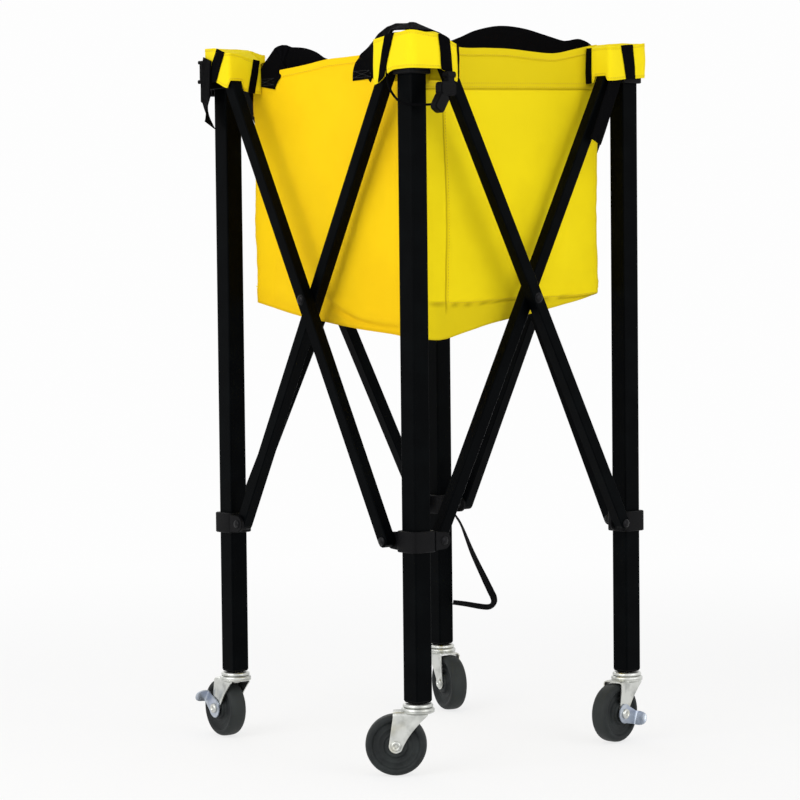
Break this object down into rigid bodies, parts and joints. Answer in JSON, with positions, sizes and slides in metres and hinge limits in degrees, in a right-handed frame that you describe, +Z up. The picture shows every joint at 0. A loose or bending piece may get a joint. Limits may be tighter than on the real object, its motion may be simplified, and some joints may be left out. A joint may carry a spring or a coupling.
{
  "type": "rolling ball basket",
  "caption": "Folding ball basket on swivel casters: a square cloth bag hung from a scissor frame of square tube with sliding collars, webbing handles and braked wheels",
  "frame": {"origin": "on the floor, under the middle of the whole cart's outline as it stands open with its casters turned as in the picture", "axes": "+Z is up. +X points from the left leg to the front leg and +Y from the front leg to the right leg; the legs are named as the picture shows them"},
  "size_m": [0.4728, 0.478, 0.9358],
  "materials": {
    "black": "black powder coat, half matt",
    "moulded": "moulded black nylon",
    "rivet": "blackened steel rivet",
    "zinc": "bright zinc plate",
    "lever": "zinc plate, bluish",
    "rubber": "dark grey moulded rubber",
    "cloth": "yellow coated polyester cloth",
    "webbing": "black woven webbing"
  },
  "bodies": {
    "front_leg": {"front_leg": "black", "front_leg_cap": "moulded", "front_leg_plug": "moulded", "front_caster_stem": "zinc", "front_bag_sleeve": "cloth", "front_cord_toggle": "moulded", "front_draw_cord": "webbing"},
    "left_leg": {"left_leg": "black", "left_leg_cap": "moulded", "left_leg_plug": "moulded", "left_caster_stem": "zinc", "left_bag_sleeve": "cloth", "left_buckle": "moulded", "bag_left_walls": "cloth", "left_handle": "webbing"},
    "right_leg": {"right_leg": "black", "right_leg_cap": "moulded", "right_leg_plug": "moulded", "right_caster_stem": "zinc", "right_bag_sleeve": "cloth", "right_strap_end": "webbing", "bag_right_walls": "cloth", "right_handle": "webbing"},
    "back_leg": {"back_leg": "black", "back_leg_cap": "moulded", "back_leg_plug": "moulded", "back_caster_stem": "zinc", "back_bag_sleeve": "cloth"},
    "left_front_inner_bar": {"left_front_inner_bar": "black"},
    "left_front_outer_bar": {"left_front_outer_bar": "black", "left_front_crossing_rivet": "rivet"},
    "front_right_outer_bar": {"front_right_outer_bar": "black", "front_right_crossing_rivet": "rivet"},
    "front_right_inner_bar": {"front_right_inner_bar": "black"},
    "back_left_inner_bar": {"back_left_inner_bar": "black"},
    "back_left_outer_bar": {"back_left_outer_bar": "black", "back_left_crossing_rivet": "rivet"},
    "right_back_outer_bar": {"right_back_outer_bar": "black", "right_back_crossing_rivet": "rivet"},
    "right_back_inner_bar": {"right_back_inner_bar": "black"},
    "front_collar": {"front_collar": "moulded"},
    "left_collar": {"left_collar": "moulded"},
    "right_collar": {"right_collar": "moulded"},
    "back_collar": {"back_collar": "moulded", "back_tie_strap": "webbing"},
    "bag_left_floor": {"bag_left_floor": "cloth"},
    "bag_right_floor": {"bag_right_floor": "cloth"},
    "left_caster": {"left_caster_fork": "zinc"},
    "left_wheel": {"left_wheel": "rubber"},
    "front_caster": {"front_caster_fork": "zinc"},
    "front_wheel": {"front_wheel": "rubber"},
    "right_caster": {"right_caster_fork": "zinc"},
    "right_wheel": {"right_wheel": "rubber"},
    "back_caster": {"back_caster_fork": "zinc"},
    "back_wheel": {"back_wheel": "rubber"},
    "left_brake": {"left_brake_lever": "lever"},
    "right_brake": {"right_brake_lever": "lever"}
  },
  "joints": [
    {"name": "fold", "type": "hinge", "parent": "front_leg", "child": "left_front_inner_bar", "pos_m": [0.1602, -0.191, 0.868], "axis": [0, -1, 0], "range_deg": [0, 24.4], "deforming": ["bag_left_walls", "bag_right_walls", "bag_left_floor", "bag_right_floor", "left_bag_sleeve", "front_bag_sleeve", "right_bag_sleeve", "back_bag_sleeve", "left_handle", "right_handle", "back_tie_strap", "right_strap_end", "front_draw_cord"]},
    {"name": "left_front_cross", "type": "hinge", "parent": "left_front_inner_bar", "child": "left_front_outer_bar", "pos_m": [0.0092, -0.2075, 0.5765], "axis": [0, 1, 0], "range_deg": [0, 48.8]},
    {"name": "left_leg_hinge", "type": "hinge", "parent": "left_front_outer_bar", "child": "left_leg", "pos_m": [-0.1418, -0.2075, 0.868], "axis": [0, -1, 0], "range_deg": [0, 24.4]},
    {"name": "front_collar_hinge", "type": "hinge", "parent": "left_front_outer_bar", "child": "front_collar", "pos_m": [0.1602, -0.2075, 0.285], "axis": [0, -1, 0], "range_deg": [0, 24.4]},
    {"name": "left_collar_hinge", "type": "hinge", "parent": "left_front_inner_bar", "child": "left_collar", "pos_m": [-0.1418, -0.191, 0.285], "axis": [0, 1, 0], "range_deg": [0, 24.4]},
    {"name": "front_right_top", "type": "hinge", "parent": "front_leg", "child": "front_right_outer_bar", "pos_m": [0.2117, -0.156, 0.868], "axis": [-1, 0, 0], "range_deg": [0, 24.4]},
    {"name": "front_right_cross", "type": "hinge", "parent": "front_right_outer_bar", "child": "front_right_inner_bar", "pos_m": [0.1952, -0.005, 0.5765], "axis": [1, 0, 0], "range_deg": [0, 48.8]},
    {"name": "right_leg_hinge", "type": "hinge", "parent": "front_right_inner_bar", "child": "right_leg", "pos_m": [0.1952, 0.146, 0.868], "axis": [-1, 0, 0], "range_deg": [0, 24.4]},
    {"name": "right_collar_hinge", "type": "hinge", "parent": "front_right_outer_bar", "child": "right_collar", "pos_m": [0.2117, 0.146, 0.285], "axis": [1, 0, 0], "range_deg": [0, 24.4]},
    {"name": "back_left_top", "type": "hinge", "parent": "left_leg", "child": "back_left_inner_bar", "pos_m": [-0.1768, -0.156, 0.868], "axis": [-1, 0, 0], "range_deg": [0, 24.4]},
    {"name": "back_left_cross", "type": "hinge", "parent": "back_left_inner_bar", "child": "back_left_outer_bar", "pos_m": [-0.1933, -0.005, 0.5765], "axis": [1, 0, 0], "range_deg": [0, 48.8]},
    {"name": "back_leg_hinge", "type": "hinge", "parent": "back_left_outer_bar", "child": "back_leg", "pos_m": [-0.1933, 0.146, 0.868], "axis": [-1, 0, 0], "range_deg": [0, 24.4]},
    {"name": "back_collar_hinge", "type": "hinge", "parent": "back_left_inner_bar", "child": "back_collar", "pos_m": [-0.1768, 0.146, 0.285], "axis": [1, 0, 0], "range_deg": [0, 24.4]},
    {"name": "right_back_top", "type": "hinge", "parent": "right_leg", "child": "right_back_outer_bar", "pos_m": [0.1602, 0.1975, 0.868], "axis": [0, -1, 0], "range_deg": [0, 24.4]},
    {"name": "right_back_cross", "type": "hinge", "parent": "right_back_outer_bar", "child": "right_back_inner_bar", "pos_m": [0.0092, 0.181, 0.5765], "axis": [0, 1, 0], "range_deg": [0, 48.8]},
    {"name": "bag_left_floor_fold", "type": "hinge", "parent": "left_leg", "child": "bag_left_floor", "pos_m": [0.0092, -0.1617, 0.591], "axis": [1, 0, 0], "range_deg": [0, 86.7]},
    {"name": "bag_right_floor_fold", "type": "hinge", "parent": "right_leg", "child": "bag_right_floor", "pos_m": [0.0092, 0.1517, 0.591], "axis": [-1, 0, 0], "range_deg": [0, 86.7]},
    {"name": "left_swivel", "type": "hinge", "parent": "left_leg", "child": "left_caster", "pos_m": [-0.1718, -0.186, 0.08], "axis": [0, 0, 1], "continuous": true},
    {"name": "left_wheel_spin", "type": "hinge", "parent": "left_caster", "child": "left_wheel", "pos_m": [-0.1986, -0.18271, 0.0375], "axis": [-0.1219, -0.9925, 0], "continuous": true},
    {"name": "left_brake_turn", "type": "hinge", "parent": "left_caster", "child": "left_brake", "pos_m": [-0.1986, -0.18271, 0.0375], "axis": [0.1219, 0.9925, 0], "range_deg": [0, 160]},
    {"name": "front_swivel", "type": "hinge", "parent": "front_leg", "child": "front_caster", "pos_m": [0.1902, -0.186, 0.08], "axis": [0, 0, 1], "continuous": true},
    {"name": "front_wheel_spin", "type": "hinge", "parent": "front_caster", "child": "front_wheel", "pos_m": [0.17213, -0.20606, 0.0375], "axis": [0.7431, -0.6691, 0], "continuous": true},
    {"name": "right_swivel", "type": "hinge", "parent": "right_leg", "child": "right_caster", "pos_m": [0.1902, 0.176, 0.08], "axis": [0, 0, 1], "continuous": true},
    {"name": "right_wheel_spin", "type": "hinge", "parent": "right_caster", "child": "right_wheel", "pos_m": [0.19396, 0.14926, 0.0375], "axis": [0.9903, 0.1392, 0], "continuous": true},
    {"name": "right_brake_turn", "type": "hinge", "parent": "right_caster", "child": "right_brake", "pos_m": [0.19396, 0.14926, 0.0375], "axis": [-0.9903, -0.1392, 0], "range_deg": [-160, 0]},
    {"name": "back_swivel", "type": "hinge", "parent": "back_leg", "child": "back_caster", "pos_m": [-0.1718, 0.176, 0.08], "axis": [0, 0, 1], "continuous": true},
    {"name": "back_wheel_spin", "type": "hinge", "parent": "back_caster", "child": "back_wheel", "pos_m": [-0.14598, 0.16811, 0.0375], "axis": [0.2924, 0.9563, 0], "continuous": true}
  ],
  "couplings": [
    {"joint": "left_front_cross", "follows": "fold", "ratio": 2},
    {"joint": "left_leg_hinge", "follows": "fold", "ratio": 1},
    {"joint": "front_collar_hinge", "follows": "fold", "ratio": 1},
    {"joint": "left_collar_hinge", "follows": "fold", "ratio": 1},
    {"joint": "front_right_top", "follows": "fold", "ratio": 1},
    {"joint": "front_right_cross", "follows": "fold", "ratio": 2},
    {"joint": "right_leg_hinge", "follows": "fold", "ratio": 1},
    {"joint": "right_collar_hinge", "follows": "fold", "ratio": 1},
    {"joint": "back_left_top", "follows": "fold", "ratio": 1},
    {"joint": "back_left_cross", "follows": "fold", "ratio": 2},
    {"joint": "back_leg_hinge", "follows": "fold", "ratio": 1},
    {"joint": "back_collar_hinge", "follows": "fold", "ratio": 1},
    {"joint": "right_back_top", "follows": "fold", "ratio": 1},
    {"joint": "right_back_cross", "follows": "fold", "ratio": 2},
    {"joint": "bag_left_floor_fold", "follows": "fold", "ratio": 3.55},
    {"joint": "bag_right_floor_fold", "follows": "fold", "ratio": 3.55}
  ]
}
